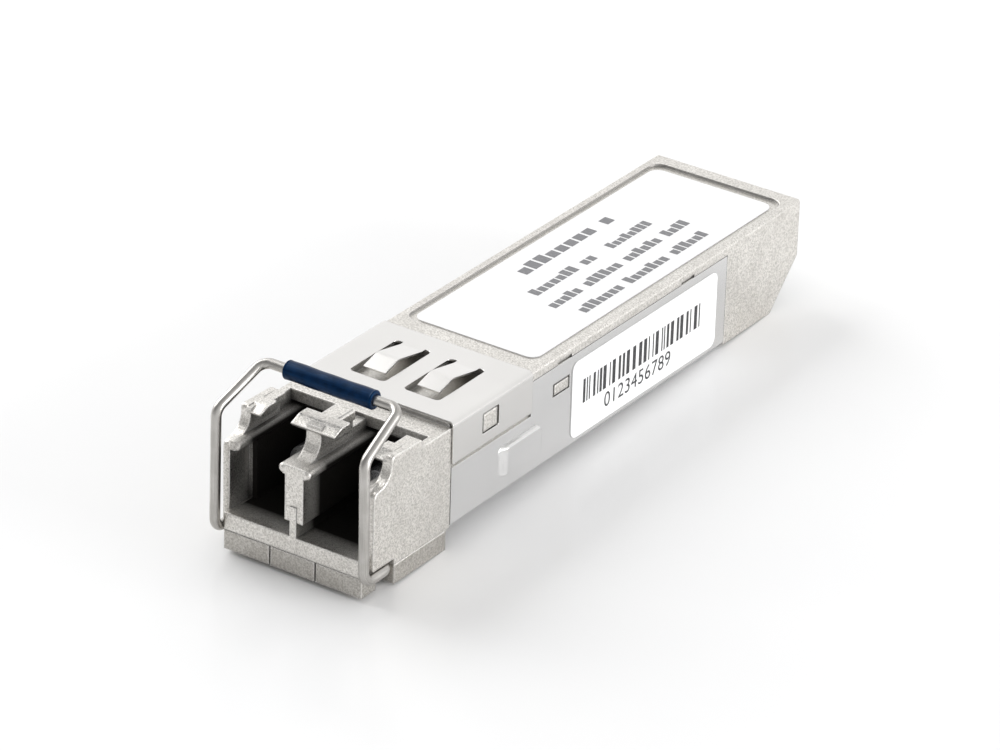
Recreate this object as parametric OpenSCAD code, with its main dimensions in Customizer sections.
// Small form-factor pluggable optical transceiver with a duplex LC front and a wire bail latch.
// Design axes: +X to the right seen from the ports, +Y from the ports to the edge connector, +Z up.
// Design origin: z = 0 is the underside of the body, y = 0 is the front edge of the nose's side walls.

/* [Body] */
// Width of the body
body_w = 13.4; // [12.9:0.1:16.1]
// Height of the body
body_h = 8.5; // [8.3:0.1:10.2]
// Length from the nose's side walls to the rear end
body_l = 56.5; // [55:0.5:70]
// Thickness of the roof
roof_t = 1.0; // [0.8:0.1:1.2]
// Thickness of each side wall, cover sheet included
wall_t = 1.1; // [0.9:0.05:1.2]
// Thickness of the side skirts beside the edge connector
skirt_t = 0.7; // [0.5:0.05:0.8]
// Distance from the stop shoulder to the open connector bay
bay_from_shoulder = 37.1; // [34:0.1:38]
// Size of the sloped cut at the lower rear corners
rear_cut = 3.7; // [2:0.1:5]

/* [Nose] */
// Length of the nose casting
nose_l = 9.4; // [9:0.1:10]
// Distance between the two fibre axes
port_pitch = 6.25; // [6.2:0.05:6.4]
// Height of the fibre axes above the body's underside
port_z = 3.8; // [3.6:0.05:4]
// Width of the hole for one plug
port_w = 4.65; // [4.5:0.05:4.8]
// Height of the hole for one plug
port_h = 4.9; // [4.6:0.05:5]
// Thickness of the nose's side walls at the mouth
mouth_wall_t = 0.55; // [0.4:0.05:0.8]
// Depth of the wide mouth before the walls step inwards
mouth_d = 2.4; // [1:0.1:4]
// Thickness of the wall behind the ports
port_back_t = 1.4; // [1:0.1:1.8]
// How far the floor lip and the divider stand in front of the side walls
lip_d = 0.6; // [0.3:0.05:0.6]
// Thickness of the web at the foot of the divider
web_t = 0.55; // [0.4:0.05:1]
// Length of each latch keeper's flange
flange_l = 1.0; // [0.8:0.1:2]
// Width of the divider's keeper flange
flange_w = 3.8; // [3:0.1:4.2]

/* [Sheet metal] */
// Thickness of the bottom cover's sheet
sheet_t = 0.2; // [0.1:0.05:0.3]
// Thickness of the spring collar's sheet
collar_t = 0.15; // [0.1:0.05:0.2]
// Length of the spring collar
collar_l = 10.1; // [9:0.1:12]
// Height above the underside at which the collar's flaps end
flap_z = 5.25; // [4.5:0.05:6]
// Width of one spring finger
finger_w = 1.95; // [1.2:0.05:2.4]
// Width of the window around one spring finger
window_w = 3.2; // [2.6:0.1:3.6]
// Length of that window
window_l = 6.0; // [4:0.1:7]
// Distance between the middles of the two fingers
finger_pitch = 4.85; // [4:0.05:5.5]
// How far a finger's crest stands above the collar
finger_rise = 0.55; // [0.2:0.05:0.8]
// How far the stamped pad stands out of the cover's side
pad_rise = 0.3; // [0.1:0.05:0.35]

/* [Latch] */
// Depth of the base under the nose
base_h = 1.6; // [1.4:0.05:2]
// Distance from the stop shoulder to the front of the latch boss
boss_from_shoulder = 2.5; // [2:0.1:3]
// How far the latch boss stands below the body
boss_h = 0.45; // [0.3:0.05:0.6]
// Length of the latch boss
boss_l = 2.6; // [2:0.1:3]
// Width of the latch tongue and its boss
tongue_w = 2.6; // [2:0.1:3]
// Width of the lever's front block
lever_w = 3.9; // [3.2:0.1:4.5]
// Diameter of the lever's pin
pin_d = 0.6; // [0.4:0.05:0.7]
// Distance from the front of the side walls to the lever's pin
pin_y = 6.0; // [5.5:0.1:6.5]

/* [Bail] */
// Diameter of the bail's wire
wire_d = 0.8; // [0.6:0.05:0.9]
// Diameter of the vinyl sleeve
grip_d = 1.5; // [1.3:0.05:2]
// Length of the vinyl sleeve
grip_l = 7.8; // [6:0.1:9]
// Distance from the front of the side walls to the bail's hinge axis
hinge_y = 2.1; // [2:0.05:2.4]
// Radius of the wire's four large bends, along its centre line
bail_bend_r = 0.95; // [0.6:0.05:1.2]
// How far the wire's inner ends are cranked off the hinge axis
crank_d = 0.35; // [0.2:0.05:0.4]

/* [Circuit board] */
// Thickness of the circuit board
board_t = 1.0; // [0.8:0.1:1.2]
// Height of the board's underside above the body's underside
board_z = 2.25; // [2.1:0.05:2.4]
// Width of the board at the edge connector
edge_w = 9.2; // [9:0.1:9.4]
// Distance from the stop shoulder to the board's rear edge
board_from_shoulder = 44.3; // [43:0.1:45]
// Distance between two contact pads
pad_pitch = 0.8; // [0.75:0.01:0.85]
// Number of contact pads on each face of the board
pads_per_face = 10; // [6:1:10]

/* [Optics] */
// Diameter of the fibre socket's barrel
barrel_d = 2.95; // [2.6:0.05:3.2]
// How far a barrel stands into its port
barrel_reach = 2.8; // [1:0.1:3.5]
// Bore of the ceramic alignment sleeve
ferrule_bore_d = 1.26; // [1.25:0.005:1.3]
// Outer diameter of the laser's and detector's cans
can_d = 4.6; // [4:0.1:4.8]
// Length of those cans
can_l = 4.2; // [3.5:0.1:5]

/* [Labels] */
// Thickness of each label
label_t = 0.08; // [0.05:0.01:0.12]
// Width of the top label
top_label_w = 11.1; // [9:0.1:11.2]
// Length of the top label
top_label_l = 32.9; // [25:0.1:33]
// Length of the side label
side_label_l = 19.75; // [15:0.05:20]
// Height of the side label
side_label_h = 6.4; // [4:0.1:6.5]

/* [Hidden] */
$fn = 48;
EPS = 0.01;
FREE = 0.1;              // clearance round moving pieces
RUN = 0.03;              // radial running clearance
SNUG = 0.01;             // radial clearance of pressed pieces
shoulder_y = 9.0;        // stop shoulder that meets the cage
half_w = body_w / 2;
base_z = -base_h;
core_x = half_w - sheet_t;               // half width of the casting inside the cover
inner_x = half_w - wall_t;               // half width of the hollow body
roof_z = body_h - roof_t;
bay_y = shoulder_y + bay_from_shoulder;
edge_cut = 0.15;                         // broken top edges of the casting
collar_y = nose_l;
collar_end = collar_y + collar_l;
rim_z = body_h - 0.8;                    // the casting's rim above the cover
nose_top = body_h + 0.4;                 // top of the side walls' latch keepers
keeper_top = body_h + 1.0;               // top of the divider's latch keeper
nose_deck = body_h - 0.3;                // top of the nose behind the keepers
floor_z = port_z - port_h / 2;           // floor of the ports
ledge_z = port_z + port_h / 2;           // underside of the plug ledges
ledge_t = 0.75;
ledge_top = ledge_z + ledge_t;
port_back = nose_l - port_back_t;
divider_w = port_pitch - port_w;
ledge_w = 2.8;                           // width of the divider's ledges together
port_out = port_pitch / 2 + port_w / 2;  // outer side of each port
deck_y = port_back - 0.7;                // front edge of the roof over the ports
keeper_y = 1.6;                          // front of the divider's keeper flange
wall_keeper_y = 2.0;                     // front of the side walls' keeper flanges
hollow_r = 1.5;                          // radius of the hollow curve under the keepers
wall_hollow = [0.6, body_h - 0.15];      // its centre on the side walls
keeper_end = 5.65;
wall_ledge_y = -0.1;                     // front of the ledges on the side walls
wall_ledge_x = port_out - 0.2;           // their free edge
wire_r = wire_d / 2;
leg_y = -1.05;                           // bail legs in front of the nose
leg_x = half_w - 0.05;
knee_z = body_h + 1.3;
bar_y = 3.85;                            // crossbar above the ports
bar_z = body_h + 3.35;
hinge_z = 0;                             // hinge axis at the joint of nose and base
base_front_x = leg_x - wire_r - FREE;    // base blocks between the bail's legs
neck_x = leg_x - bail_bend_r - 0.05;     // base inside the bail's lower bends
channel_y0 = hinge_y - wire_r - FREE;
channel_y1 = hinge_y + wire_r + FREE;
channel_z = hinge_z - wire_r - 0.05;     // floor of the wire's channel in the base
channel_top = hinge_z + wire_r + FREE;   // its roof in the nose
slot_x = lever_w / 2 + 0.15;             // half width of the lever's slot
lever_gap_z = -0.05;                     // top of the front blocks
pin_z = -0.92;
tongue_z0 = sheet_t + 0.1;
tongue_t = 0.5;
tongue_room_z = 1.5;                     // roof of the way for the tongue in the housing
boss_y = shoulder_y + boss_from_shoulder;
tongue_slot_x = tongue_w / 2 + FREE;
tongue_end = boss_y + boss_l + 0.5;
cam_z = hinge_z - wire_r - FREE;         // lever face under the cranked wire ends
board_top = board_z + board_t;
board_y = 18.2;
board_end = shoulder_y + board_from_shoulder;
board_x = inner_x - 0.05;
gasket_t = 0.3;
flange_y = nose_l + gasket_t;            // front of the sockets' flanges
barrel_flange_t = 0.5;
clamp_t = 0.4;
can_neck_d = can_d - 0.6;                // neck that passes through the clamp
can_y = flange_y + barrel_flange_t;
can_end = can_y + can_l;
sleeve_wall = 0.22;
sleeve_r = ferrule_bore_d / 2;
barrel_front = port_back - barrel_reach;
recess_x = top_label_w / 2 + 0.45;
recess_y0 = collar_end + 1.6;
recess_y1 = body_l - 1.2;
recess_z = body_h - 0.2;
side_label_y = 24.9;
side_label_z = 0.6;

// ---------- shared shapes ----------

// Points along an arc about c, from angle a0 to a1
function arc(c, r, a0, a1, n = 8) =
    [for (i = [0:n]) c + r * [cos(a0 + (a1 - a0) * i / n), sin(a0 + (a1 - a0) * i / n)]];

// Outline of a rectangle with round corners, from lo to hi
function round_rect(lo, hi, r) = concat(
    arc([hi[0] - r, hi[1] - r], r, 0, 90), arc([lo[0] + r, hi[1] - r], r, 90, 180),
    arc([lo[0] + r, lo[1] + r], r, 180, 270), arc([hi[0] - r, lo[1] + r], r, 270, 360));

// Moves the design so that its origin is the middle of the underside of its bounding box
module placed() {
    front_y = leg_y - wire_r;
    translate([0, -(front_y + body_l) / 2, base_h]) children();
}

// Box from its low corner to its high corner
module slab(lo, hi) {
    translate(lo) cube(hi - lo);
}

// Extrudes a drawing in (Y, Z) from x0 to x1
module along_x(x0, x1) {
    translate([x0, 0, 0]) rotate([90, 0, 90]) linear_extrude(x1 - x0) children();
}

// Extrudes a drawing in (X, Z) from y0 to y1
module along_y(y0, y1) {
    translate([0, y1, 0]) rotate([90, 0, 0]) linear_extrude(y1 - y0) children();
}

// Round bar along Y
module bar_y_axis(x, z, r, y0, y1) {
    translate([x, y0, z]) rotate([-90, 0, 0]) cylinder(h = y1 - y0, r = r);
}

// Round bar along X
module bar_x_axis(y, z, r, x0, x1) {
    translate([x0, y, z]) rotate([0, 90, 0]) cylinder(h = x1 - x0, r = r);
}

// The drawn side and its mirror image
module both_sides() {
    children();
    mirror([1, 0, 0]) children();
}

// ---------- die-cast housing ----------

// Side outline of the nose: upright front, stepped back in an S below the keepers
module nose_outline() {
    edge_r = 0.5;
    top_r = 0.35;
    step_y = wall_hollow[0] + hollow_r;
    polygon(concat(
        [[0, 0]], arc([edge_r, wall_hollow[1] - hollow_r - edge_r - 0.05], edge_r, 180, 100),
        arc(wall_hollow, hollow_r, -85, 0), arc([step_y + top_r, nose_top - top_r], top_r, 180, 90),
        [[keeper_end, nose_top - 0.1], [keeper_end + 0.4, nose_deck], [nose_l, nose_deck], [nose_l, 0]]));
}

// Side outline of a keeper's stem: from the ledge up a hollow arc about c
module stem_outline(c, top) {
    low = asin(max(-1, (ledge_top - c[1]) / hollow_r));
    foot = low > -90 ? [] : [[c[0] - 0.4, ledge_top - EPS]];
    polygon(concat([[keeper_end, ledge_top - EPS]], foot, arc(c, hollow_r, low, 0),
                   [[c[0] + hollow_r, top - 0.1], [keeper_end, top - 0.1]]));
}

// Side outline of a keeper's flange with its front lower edge at y
module keeper_flange_outline(y, top) {
    polygon([[y + 0.3, top - 0.75], [y, top - 0.4], [y + 1.0, top], [y + 1.0 + flange_l, top],
             [y + 1.0 + flange_l, top - 0.7], [y + 0.7, top - 0.75]]);
}

// Long shelf that guides a plug from y0 to the wall behind the ports, round along its free edge
module ledge(x_root, x_edge, y0) {
    r = ledge_t / 2;
    nose = 0.18;
    side = x_edge > x_root ? 1 : -1;
    x_mid = x_edge - side * r;
    slab([min(x_root, x_mid), y0 + 0.1, ledge_z], [max(x_root, x_mid), port_back + EPS, ledge_top]);
    bar_y_axis(x_mid, ledge_z + r, r, y0 + nose, port_back + EPS);
    translate([x_mid, y0, ledge_z + r]) rotate([-90, 0, 0]) cylinder(h = nose, r1 = r - nose, r2 = r);
}

module divider() {
    block_w = 1.7;
    block_top = keeper_top - 0.2;
    slab([-web_t / 2, -lip_d, floor_z - EPS], [web_t / 2, port_back + EPS, port_z]);
    slab([-divider_w / 2, -lip_d + 0.1, floor_z + 1.2], [divider_w / 2, port_back + EPS, ledge_z + EPS]);
    ledge(0, ledge_w / 2, -lip_d);
    ledge(0, -ledge_w / 2, -lip_d);
    along_x(-0.65, 0.65) stem_outline([0.3, keeper_top - 1], keeper_top);
    along_x(-flange_w / 2, flange_w / 2) keeper_flange_outline(keeper_y, keeper_top);
    slab([-block_w / 2, keeper_y + flange_l, block_top - 0.7], [block_w / 2, keeper_end, block_top]);
    slab([-0.6, keeper_end - EPS, ledge_top - EPS], [0.6, port_back + EPS, nose_deck - 0.3]);
}

module wall_keeper() {
    wall_x = half_w - mouth_wall_t;
    block_x = port_out - 0.05;
    ledge(wall_x + EPS, wall_ledge_x, wall_ledge_y);
    along_x(half_w - 0.85, wall_x + EPS) stem_outline(wall_hollow, nose_top);
    along_x(block_x - 0.45, wall_x + EPS) keeper_flange_outline(wall_keeper_y, nose_top);
    slab([block_x, wall_keeper_y + flange_l, nose_top - 0.75], [wall_x + EPS, keeper_end, nose_top - 0.1]);
}

module nose_casting() {
    wall_x = half_w - mouth_wall_t;
    both_sides() {
        along_x(wall_x, half_w) nose_outline();
        slab([port_out, mouth_d, 0], [wall_x + EPS, port_back + EPS, ledge_top]);
        wall_keeper();
    }
    slab([-wall_x - EPS, -lip_d, 0], [wall_x + EPS, port_back + EPS, floor_z]);
    slab([-half_w + EPS, port_back, 0], [half_w - EPS, nose_l, nose_deck]);
    slab([-half_w + EPS, deck_y, nose_deck - 0.9], [half_w - EPS, port_back + EPS, nose_deck]);
    divider();
}

// Cross-section of the casting inside the cover in (X, Z): side walls and roof, open below
module core_section() {
    cut = 0.2;
    difference() {
        polygon([[-core_x, sheet_t + cut], [cut - core_x, sheet_t], [core_x - cut, sheet_t],
                 [core_x, sheet_t + cut], [core_x, body_h - cut], [core_x - cut, body_h],
                 [cut - core_x, body_h], [-core_x, body_h - cut]]);
        translate([-inner_x, 0]) square([2 * inner_x, roof_z]);
    }
}

// Cross-section of the rim above the cover, with its top edges broken
module rim_section() {
    polygon([[-half_w, rim_z], [half_w, rim_z], [half_w, body_h - edge_cut], [half_w - edge_cut, body_h],
             [edge_cut - half_w, body_h], [-half_w, body_h - edge_cut]]);
}

// Cross-section beside the edge connector
module bay_section() {
    skirt_x = half_w - skirt_t;
    difference() {
        polygon([[-half_w, 0], [half_w, 0], [half_w, body_h - edge_cut], [half_w - edge_cut, body_h],
                 [edge_cut - half_w, body_h], [-half_w, body_h - edge_cut]]);
        translate([-skirt_x, -EPS]) square([2 * skirt_x, roof_z + EPS]);
    }
}

// Rails that carry the circuit board, and the block that the thermal pad presses on
module housing_inside() {
    both_sides() slab([inner_x - 0.7, board_y + 1, board_z - 0.9], [inner_x + EPS, bay_y, board_z]);
    slab([-4.4, 24.5, board_top + 2], [0.4, 29.5, roof_z + EPS]);
}

// Way of the bail's wire into the underside of the nose, round the outline of the base's blocks
module bail_channel() {
    translate([0, 0, -1]) linear_extrude(channel_top + 1) difference() {
        translate([-half_w - 1, -1]) square([2 * half_w + 2, channel_y1 + 1]);
        base_front_outline();
    }
    slab([-slot_x, channel_y0 - crank_d, -1], [slot_x, channel_y1, channel_top]);
}

module main_housing() {
    color([0.80, 0.78, 0.75]) placed() difference() {
        union() {
            nose_casting();
            along_y(nose_l - EPS, bay_y + EPS) core_section();
            difference() {
                along_y(collar_end, bay_y + EPS) rim_section();
                slab([-inner_x, 0, -1], [inner_x, body_l, roof_z]);
            }
            along_y(bay_y, body_l) bay_section();
            housing_inside();
            both_sides() {
                // bumps that the windows of the collar and the cover snap over
                slab([core_x - EPS, 13.3, flap_z + 1.0], [half_w + 0.1, 15.0, body_h - 0.85]);
                slab([core_x - EPS, 22.6, 5.35], [half_w, 24.4, 6.15]);
            }
        }
        // fibre socket holes
        for (side = [-1, 1])
            bar_y_axis(side * port_pitch / 2, port_z, barrel_d / 2 + SNUG, port_back - 1, nose_l + 1);
        // pockets under the spring fingers
        for (side = [-1, 1])
            slab([side * finger_pitch / 2 - window_w / 2 - 0.05, collar_y + 2.0, body_h - 0.5],
                 [side * finger_pitch / 2 + window_w / 2 + 0.05, collar_y + 8.2, body_h + 1]);
        // recess of the top label
        translate([0, 0, recess_z])
            linear_extrude(1) polygon(round_rect([-recess_x, recess_y0], [recess_x, recess_y1], 1.1));
        bail_channel();
        // slots for the latch tongue and the base screws
        slab([-tongue_slot_x, port_back - 0.35, -1], [tongue_slot_x, nose_l + 1, tongue_room_z]);
        for (side = [-1, 1])
            translate([side * 4.6, 5.6, -1]) cylinder(h = 1.7, r = 0.5 + SNUG, $fn = 32);
        // notches along the rim
        for (side = [-1, 1], y = [23.0, 39.6])
            translate([side * half_w, y, rim_z - 0.5]) slab([-0.15, 0, 0], [0.15, 1.8, 0.75]);
        // sloped lower rear corners
        along_x(-half_w - 1, half_w + 1)
            polygon([[body_l - rear_cut, -EPS], [body_l + 1, -EPS], [body_l + 1, rear_cut + 1],
                     [body_l + EPS, rear_cut]]);
    }
}

// ---------- base, latch ----------

// Front blocks seen from above, their rear corners cut off to clear the bail's lower bends
module base_front_outline() {
    cut = base_front_x - neck_x;
    polygon([[-base_front_x, -lip_d], [base_front_x, -lip_d], [base_front_x, channel_y0 - cut],
             [neck_x, channel_y0], [-neck_x, channel_y0], [-base_front_x, channel_y0 - cut]]);
}

module nose_base() {
    rear_y = shoulder_y - 0.05;
    color([0.76, 0.74, 0.70]) placed() difference() {
        union() {
            translate([0, 0, base_z]) linear_extrude(lever_gap_z - base_z) base_front_outline();
            slab([-neck_x, 0, base_z], [neck_x, channel_y1 + EPS, channel_z]);
            slab([-half_w, channel_y1, base_z], [half_w, rear_y, 0]);
        }
        // way for the lever, with a bridge left above it
        slab([-slot_x, -lip_d - 1, base_z - 1], [slot_x, channel_y1 + 0.4, 1]);
        slab([-slot_x, channel_y1, base_z - 1], [slot_x, rear_y + 1, -0.32]);
        slab([-tongue_slot_x, port_back - 0.35, base_z - 1], [tongue_slot_x, rear_y + 1, 1]);
        // seat of the lever's pin
        bar_x_axis(pin_y, pin_z, pin_d / 2 + SNUG, -slot_x - 1.05, slot_x + 1.05);
        // countersunk screw holes
        for (side = [-1, 1]) translate([side * 4.6, 5.6, base_z]) {
            translate([0, 0, -1]) cylinder(h = base_h + 2, r = 0.5 + SNUG, $fn = 32);
            translate([0, 0, -EPS]) cylinder(h = 0.45, r = 0.95, $fn = 32);
        }
    }
}

module base_screws() {
    color([0.62, 0.62, 0.62]) placed() for (side = [-1, 1]) translate([side * 4.6, 5.6, base_z]) {
        difference() {
            translate([0, 0, 0.04]) cylinder(h = 0.4, r = 0.9, $fn = 32);
            rotate(side * 35) slab([-0.55, -0.1, -1], [0.55, 0.1, 0.2]);
            rotate(90 + side * 35) slab([-0.55, -0.1, -1], [0.55, 0.1, 0.2]);
        }
        translate([0, 0, 0.4]) cylinder(h = base_h + 0.15, r = 0.5, $fn = 32);
    }
}

// Side outline of the lever's tail: flat bar, rise behind the pin, tongue, boss below it
module lever_tail_outline() {
    rise_y = port_back - 0.15;
    tip_z = tongue_z0 + tongue_t;
    polygon([[pin_y, pin_z - 0.45], [rise_y + 0.55, pin_z - 0.45], [rise_y + 0.95, tongue_z0],
             [boss_y, tongue_z0], [boss_y, -boss_h], [boss_y + 1.3, -boss_h],
             [boss_y + boss_l, 0.1], [boss_y + boss_l, tongue_z0], [tongue_end, tongue_z0],
             [tongue_end, tip_z], [rise_y + 0.3, tip_z], [rise_y, pin_z + 0.35], [pin_y, pin_z + 0.35]]);
}

module latch_lever() {
    half = lever_w / 2;
    front_end = hinge_y - crank_d - wire_r - FREE;
    color([0.76, 0.74, 0.70]) placed() difference() {
        union() {
            slab([-half, -lip_d, base_z], [half, front_end, lever_gap_z]);
            slab([-half, -lip_d, base_z], [half, pin_y, cam_z]);
            along_x(-tongue_w / 2, tongue_w / 2) lever_tail_outline();
            bar_x_axis(pin_y, pin_z, 0.52, -half, half);
        }
        bar_x_axis(pin_y, pin_z, pin_d / 2 + RUN, -half - 1, half + 1);
    }
}

module latch_pin() {
    color([0.70, 0.70, 0.70]) placed() bar_x_axis(pin_y, pin_z, pin_d / 2, -slot_x - 1, slot_x + 1);
}

// Leaf that keeps the tongue down: a tab on the wall behind the ports and a long arm
module latch_spring() {
    top = tongue_z0 + tongue_t + 0.03;
    t = 0.12;
    color([0.72, 0.72, 0.74]) placed() along_x(-0.45, 0.45)
        polygon([[nose_l, 2.0], [nose_l + t, 2.0], [nose_l + t, 1.62], [boss_y + 0.6, top + t],
                 [boss_y + 1.4, top + t + 0.15], [boss_y + 1.4, top + 0.15], [boss_y + 0.6, top],
                 [nose_l, 1.5]]);
}

// ---------- sheet metal ----------

// Channel section of bent sheet in (X, Z), with round outer and inner corners
module channel_section(x, z_top, t) {
    r = 0.35;
    polygon(concat(
        [[x, z_top]], arc([x - r, r], r, 0, -90), arc([r - x, r], r, -90, -180), [[-x, z_top]],
        [[t - x, z_top]], arc([r - x, r], r - t, -180, -90), arc([x - r, r], r - t, -90, 0),
        [[x - t, z_top]]));
}

// Stamped pad on the cover's side: upright rear and top, sloped front
module cover_pad() {
    along_x(half_w - EPS, half_w + pad_rise)
        polygon(round_rect([16.3, 1.5], [20.6, 3.7], 0.35));
    translate([0, 0, 1.7]) linear_extrude(1.8)
        polygon([[half_w - EPS, 15.8], [half_w + pad_rise, 16.45], [half_w + pad_rise, 17], [half_w - EPS, 17]]);
}

module bottom_cover() {
    color([0.80, 0.81, 0.82]) placed() difference() {
        union() {
            along_y(nose_l + 0.1, collar_end + 0.1) channel_section(half_w, flap_z - 0.4, sheet_t);
            along_y(collar_end + 0.1 - EPS, bay_y - 0.05) channel_section(half_w, rim_z - 0.05, sheet_t);
            both_sides() cover_pad();
        }
        for (side = [-1, 1])
            slab([side * half_w - 0.5, 22.4, 5.2], [side * half_w + 0.5, 24.6, 6.3]);
        slab([-tongue_slot_x, 0, -1], [tongue_slot_x, tongue_end + 0.3, 1]);
    }
}

// Inverted channel of the collar in (X, Z), with round bends
module collar_section() {
    r = 0.4;
    x = half_w + collar_t;
    z = body_h + collar_t;
    t = collar_t;
    polygon(concat(
        [[x, flap_z]], arc([x - r, z - r], r, 0, 90), arc([r - x, z - r], r, 90, 180), [[-x, flap_z]],
        [[t - x, flap_z]], arc([r - x, z - r], r - t, 180, 90), arc([x - r, z - r], r - t, 90, 0),
        [[x - t, flap_z]]));
}

// Side outline of one spring finger: root at the rear, crest, free tip bent down
module finger_outline() {
    root_y = collar_y + 2.1 + window_l;
    crest_y = root_y - 3.3;
    tip_y = crest_y - 1.75;
    tip_z = body_h + collar_t + 0.1;
    z = body_h;
    t = collar_t;
    polygon([[root_y, z], [root_y, z + t], [root_y - 0.4, z + t], [crest_y + 0.15, z + t + finger_rise],
             [crest_y - 0.15, z + t + finger_rise], [tip_y, tip_z], [tip_y + 0.05, tip_z - t],
             [crest_y - 0.1, z + finger_rise], [crest_y + 0.1, z + finger_rise], [root_y - 0.45, z]]);
}

module emi_collar() {
    color([0.79, 0.78, 0.77]) placed() {
        difference() {
            along_y(collar_y + 0.02, collar_end) collar_section();
            for (side = [-1, 1]) translate([side * finger_pitch / 2, 0, body_h - 0.5]) linear_extrude(1)
                polygon(round_rect([-window_w / 2, collar_y + 2.1],
                                   [window_w / 2, collar_y + 2.1 + window_l], 0.4));
            for (side = [-1, 1]) along_x(side * half_w - 0.5, side * half_w + 0.5)
                polygon(round_rect([13.1, flap_z + 0.9], [15.2, body_h - 0.7], 0.15));
        }
        for (side = [-1, 1])
            along_x(side * finger_pitch / 2 - finger_w / 2, side * finger_pitch / 2 + finger_w / 2)
                finger_outline();
    }
}

// ---------- bail ----------

function unit(v) = v / norm(v);

// Points along the bend at corner i of the path p, with centre-line radius r
function bend_points(p, i, r) =
    let(d = unit(p[i] - p[i - 1]), e = unit(p[i + 1] - p[i]), turn = acos(d * e), trim = r * tan(turn / 2),
        inward = unit(e - (d * e) * d), centre = p[i] - d * trim + r * inward, steps = ceil(turn / 20))
    r == 0 ? [p[i]] :
    [for (k = [0:steps]) centre - r * inward * cos(turn * k / steps) + r * d * sin(turn * k / steps)];

// Ring of points round p, square to the direction d, with its first point towards u
function ring(p, d, u, r, n) =
    let(v = cross(d, u)) [for (k = [0:n - 1]) p + r * (u * cos(360 * k / n) + v * sin(360 * k / n))];

// Reference directions carried along the path without twist
function carried(dirs, u, i = 0) =
    i == len(dirs) ? [] : let(w = unit(u - (u * dirs[i]) * dirs[i])) concat([w], carried(dirs, w, i + 1));

// Round wire along a path. radii holds the bend radius at each point, 0 for ends and slight corners.
module wire(path, radii) {
    sides = 16;
    last = len(path) - 1;
    p = concat([path[0]], [for (i = [1:last - 1]) each bend_points(path, i, radii[i])], [path[last]]);
    end = len(p) - 1;
    steps = [for (i = [0:end - 1]) unit(p[i + 1] - p[i])];
    dirs = [for (i = [0:end]) unit(steps[max(i - 1, 0)] + steps[min(i, end - 1)])];
    refs = carried(dirs, [0, 0.6, 0.8]);
    points = [for (i = [0:end]) each ring(p[i], dirs[i], refs[i], wire_r, sides)];
    walls = [for (i = [0:end - 1], k = [0:sides - 1]) let(a = i * sides, m = (k + 1) % sides)
        each [[a + k, a + sides + k, a + sides + m], [a + k, a + sides + m, a + m]]];
    caps = [[for (k = [0:sides - 1]) k], [for (k = [sides - 1:-1:0]) end * sides + k]];
    polyhedron(points, concat(walls, caps));
}

// Half of the bail's path, from the middle of the crossbar to the cranked end under the nose
function half_bail(side) =
    let(jog_x = slot_x - 0.05, crank_y = hinge_y - crank_d)
    [[side * (leg_x - 0.6), bar_y, bar_z], [side * (leg_x - 0.1), leg_y, knee_z],
     [side * leg_x, leg_y, hinge_z], [side * leg_x, hinge_y, hinge_z], [side * jog_x, hinge_y, hinge_z],
     [side * (jog_x - 1), crank_y, hinge_z], [side * 0.3, crank_y, hinge_z]];

module bail_wire() {
    r = bail_bend_r;
    left = half_bail(-1);
    path = concat([for (i = [6:-1:0]) left[i]], half_bail(1));
    color([0.74, 0.72, 0.69]) placed() wire(path, [0, 0, 0, r, r, r, r, r, r, r, r, 0, 0, 0]);
}

module bail_grip() {
    color([0.03, 0.13, 0.27]) placed() difference() {
        bar_x_axis(bar_y, bar_z, grip_d / 2, -grip_l / 2, grip_l / 2);
        bar_x_axis(bar_y, bar_z, wire_r + SNUG, -grip_l / 2 - 1, grip_l / 2 + 1);
    }
}

// ---------- labels ----------

module top_label() {
    middle = (recess_y0 + recess_y1) / 2 - 0.15;
    color([0.95, 0.95, 0.95]) placed() translate([0, middle, recess_z]) linear_extrude(label_t)
        polygon(round_rect([-top_label_w / 2, -top_label_l / 2], [top_label_w / 2, top_label_l / 2], 0.9));
}

module side_label() {
    color([0.95, 0.95, 0.95]) placed() along_x(half_w, half_w + label_t)
        polygon(round_rect([side_label_y, side_label_z],
                           [side_label_y + side_label_l, side_label_z + side_label_h], 0.7));
}

// ---------- circuit board ----------

module circuit_board() {
    color([0.10, 0.35, 0.20]) placed() translate([0, 0, board_z]) linear_extrude(board_t) polygon([
        [-board_x, board_y], [board_x, board_y], [board_x, bay_y - 1], [edge_w / 2, bay_y - 0.2],
        [edge_w / 2, board_end - 0.3], [edge_w / 2 - 0.3, board_end], [0.3 - edge_w / 2, board_end],
        [-edge_w / 2, board_end - 0.3], [-edge_w / 2, bay_y - 0.2], [-board_x, bay_y - 1]]);
}

module edge_contacts() {
    pad_w = 0.5;
    pad_l = 3.0;
    pad_t = 0.04;
    color([0.85, 0.65, 0.25]) placed() for (i = [0:pads_per_face - 1], z = [board_z - pad_t, board_top])
        translate([(i - (pads_per_face - 1) / 2) * pad_pitch - pad_w / 2, board_end - 0.5 - pad_l, z])
            cube([pad_w, pad_l, pad_t]);
}

// Flat chip on the board's upper or lower face
module chip(x, y, w, l, h, top = true) {
    z = top ? board_top : board_z - h;
    slab([x - w / 2, y - l / 2, z], [x + w / 2, y + l / 2, z + h]);
}

module laser_driver() {
    color([0.10, 0.10, 0.11]) placed() chip(-2, 27, 4, 4, 0.9);
}

module thermal_pad() {
    color([0.55, 0.60, 0.75]) placed() slab([-3.8, 25.2, board_top + 0.9], [-0.2, 28.8, board_top + 2]);
}

module limiting_amplifier() {
    color([0.10, 0.10, 0.11]) placed() chip(3, 27, 3, 3, 0.85);
}

module microcontroller() {
    color([0.10, 0.10, 0.11]) placed() chip(0, 36, 5, 5, 0.9);
}

module eeprom() {
    color([0.10, 0.10, 0.11]) placed() chip(0, 32, 3, 4.4, 1.0, false);
}

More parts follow.
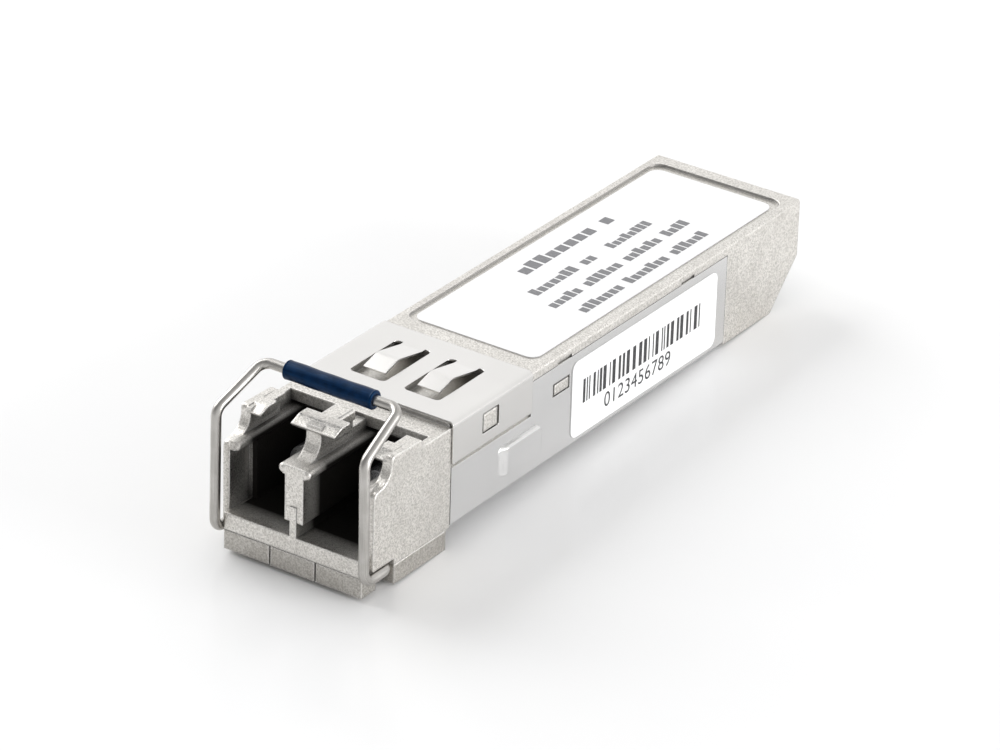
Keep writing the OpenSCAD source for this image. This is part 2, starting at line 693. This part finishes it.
module inductors() {
    color([0.25, 0.25, 0.27]) placed() for (side = [-1, 1], row = [0, 1])
        chip(side * 3.4, 41 + row * 2.6, 1.6, 2, 1.2);
}

module capacitors() {
    color([0.60, 0.50, 0.38]) placed() {
        for (side = [-1, 1], row = [0:3]) chip(side * 4.6, 31.5 + row * 1.6, 0.5, 1, 0.5);
        for (i = [-2:2]) chip(i * 1.4, 39.3, 0.5, 1, 0.5);
        for (i = [-1:1]) chip(i * 1.6, 23.4, 0.5, 1, 0.5);
    }
}

// ---------- optical subassemblies ----------

// Socket barrel: front tube in the port, flange behind the wall, neck to the can
module barrel(x) {
    difference() {
        union() {
            bar_y_axis(x, port_z, barrel_d / 2, barrel_front, flange_y + EPS);
            bar_y_axis(x, port_z, can_d / 2 + 0.1, flange_y, can_y);
        }
        bar_y_axis(x, port_z, sleeve_r + sleeve_wall + SNUG, barrel_front + 0.5, can_y - 0.3);
        bar_y_axis(x, port_z, sleeve_r, barrel_front - 1, can_y);
    }
}

// Split ceramic sleeve that lines up the plug's ferrule
module alignment_sleeve(x) {
    y0 = barrel_front + 0.52;
    y1 = can_y - 0.32;
    difference() {
        bar_y_axis(x, port_z, sleeve_r + sleeve_wall, y0, y1);
        bar_y_axis(x, port_z, sleeve_r, y0 - 1, y1 + 1);
        slab([x - 0.08, y0 - 1, port_z], [x + 0.08, y1 + 1, port_z + 2]);
    }
}

// Welded can with its header and stepped cap
module optical_can(x, front_d) {
    bar_y_axis(x, port_z, front_d / 2, can_y, can_y + 1.4);
    bar_y_axis(x, port_z, can_d / 2, can_y + clamp_t + 0.2, can_end - 0.8);
    bar_y_axis(x, port_z, can_d / 2 - 0.25, can_end - 0.8 - EPS, can_end);
}

// Flexible circuit from the can's leads down to the board
module flex(x, w) {
    t = 0.12;
    along_x(x - w / 2, x + w / 2) polygon([
        [can_end, port_z - 1.3], [can_end + t, port_z - 1.3], [can_end + t, board_top],
        [board_y + 3.2, board_top], [board_y + 3.2, board_top + t], [can_end + t, board_top + t],
        [can_end + t, port_z + 1.4], [can_end, port_z + 1.4]]);
}

module tosa_barrel() {
    color([0.72, 0.72, 0.73]) placed() barrel(-port_pitch / 2);
}

module tosa_can() {
    color([0.80, 0.70, 0.45]) placed() optical_can(-port_pitch / 2, can_neck_d - 0.4);
}

module tosa_sleeve() {
    color([0.95, 0.94, 0.90]) placed() alignment_sleeve(-port_pitch / 2);
}

module tosa_flex() {
    color([0.75, 0.45, 0.12]) placed() flex(-port_pitch / 2, 3);
}

module rosa_barrel() {
    color([0.72, 0.72, 0.73]) placed() barrel(port_pitch / 2);
}

module rosa_can() {
    color([0.80, 0.70, 0.45]) placed() optical_can(port_pitch / 2, can_neck_d);
}

module rosa_sleeve() {
    color([0.95, 0.94, 0.90]) placed() alignment_sleeve(port_pitch / 2);
}

module rosa_flex() {
    color([0.75, 0.45, 0.12]) placed() flex(port_pitch / 2, 3.4);
}

// Conductive gasket between the wall behind the ports and the sockets' flanges
module osa_gasket() {
    color([0.25, 0.25, 0.27]) placed() difference() {
        slab([-inner_x + 0.1, nose_l, port_z - 1.9], [inner_x - 0.1, nose_l + gasket_t, roof_z - 0.6]);
        for (side = [-1, 1])
            bar_y_axis(side * port_pitch / 2, port_z, barrel_d / 2 + 0.05, nose_l - 1, nose_l + 1);
        slab([-0.6, nose_l - 1, 0], [0.6, nose_l + 1, 2.4]);
    }
}

// Stamped plate that presses both sockets forward
module osa_clamp() {
    color([0.70, 0.71, 0.72]) placed() difference() {
        slab([-inner_x + 0.02, can_y, port_z - 1.7], [inner_x - 0.02, can_y + clamp_t, roof_z]);
        for (side = [-1, 1])
            bar_y_axis(side * port_pitch / 2, port_z, can_neck_d / 2 + 0.05, can_y - 1, can_y + 1);
    }
}

main_housing();
nose_base();
base_screws();
bottom_cover();
emi_collar();
bail_wire();
bail_grip();
latch_lever();
latch_pin();
latch_spring();
top_label();
side_label();
circuit_board();
edge_contacts();
tosa_barrel();
tosa_can();
tosa_sleeve();
tosa_flex();
rosa_barrel();
rosa_can();
rosa_sleeve();
rosa_flex();
osa_gasket();
osa_clamp();
thermal_pad();
laser_driver();
limiting_amplifier();
microcontroller();
eeprom();
inductors();
capacitors();
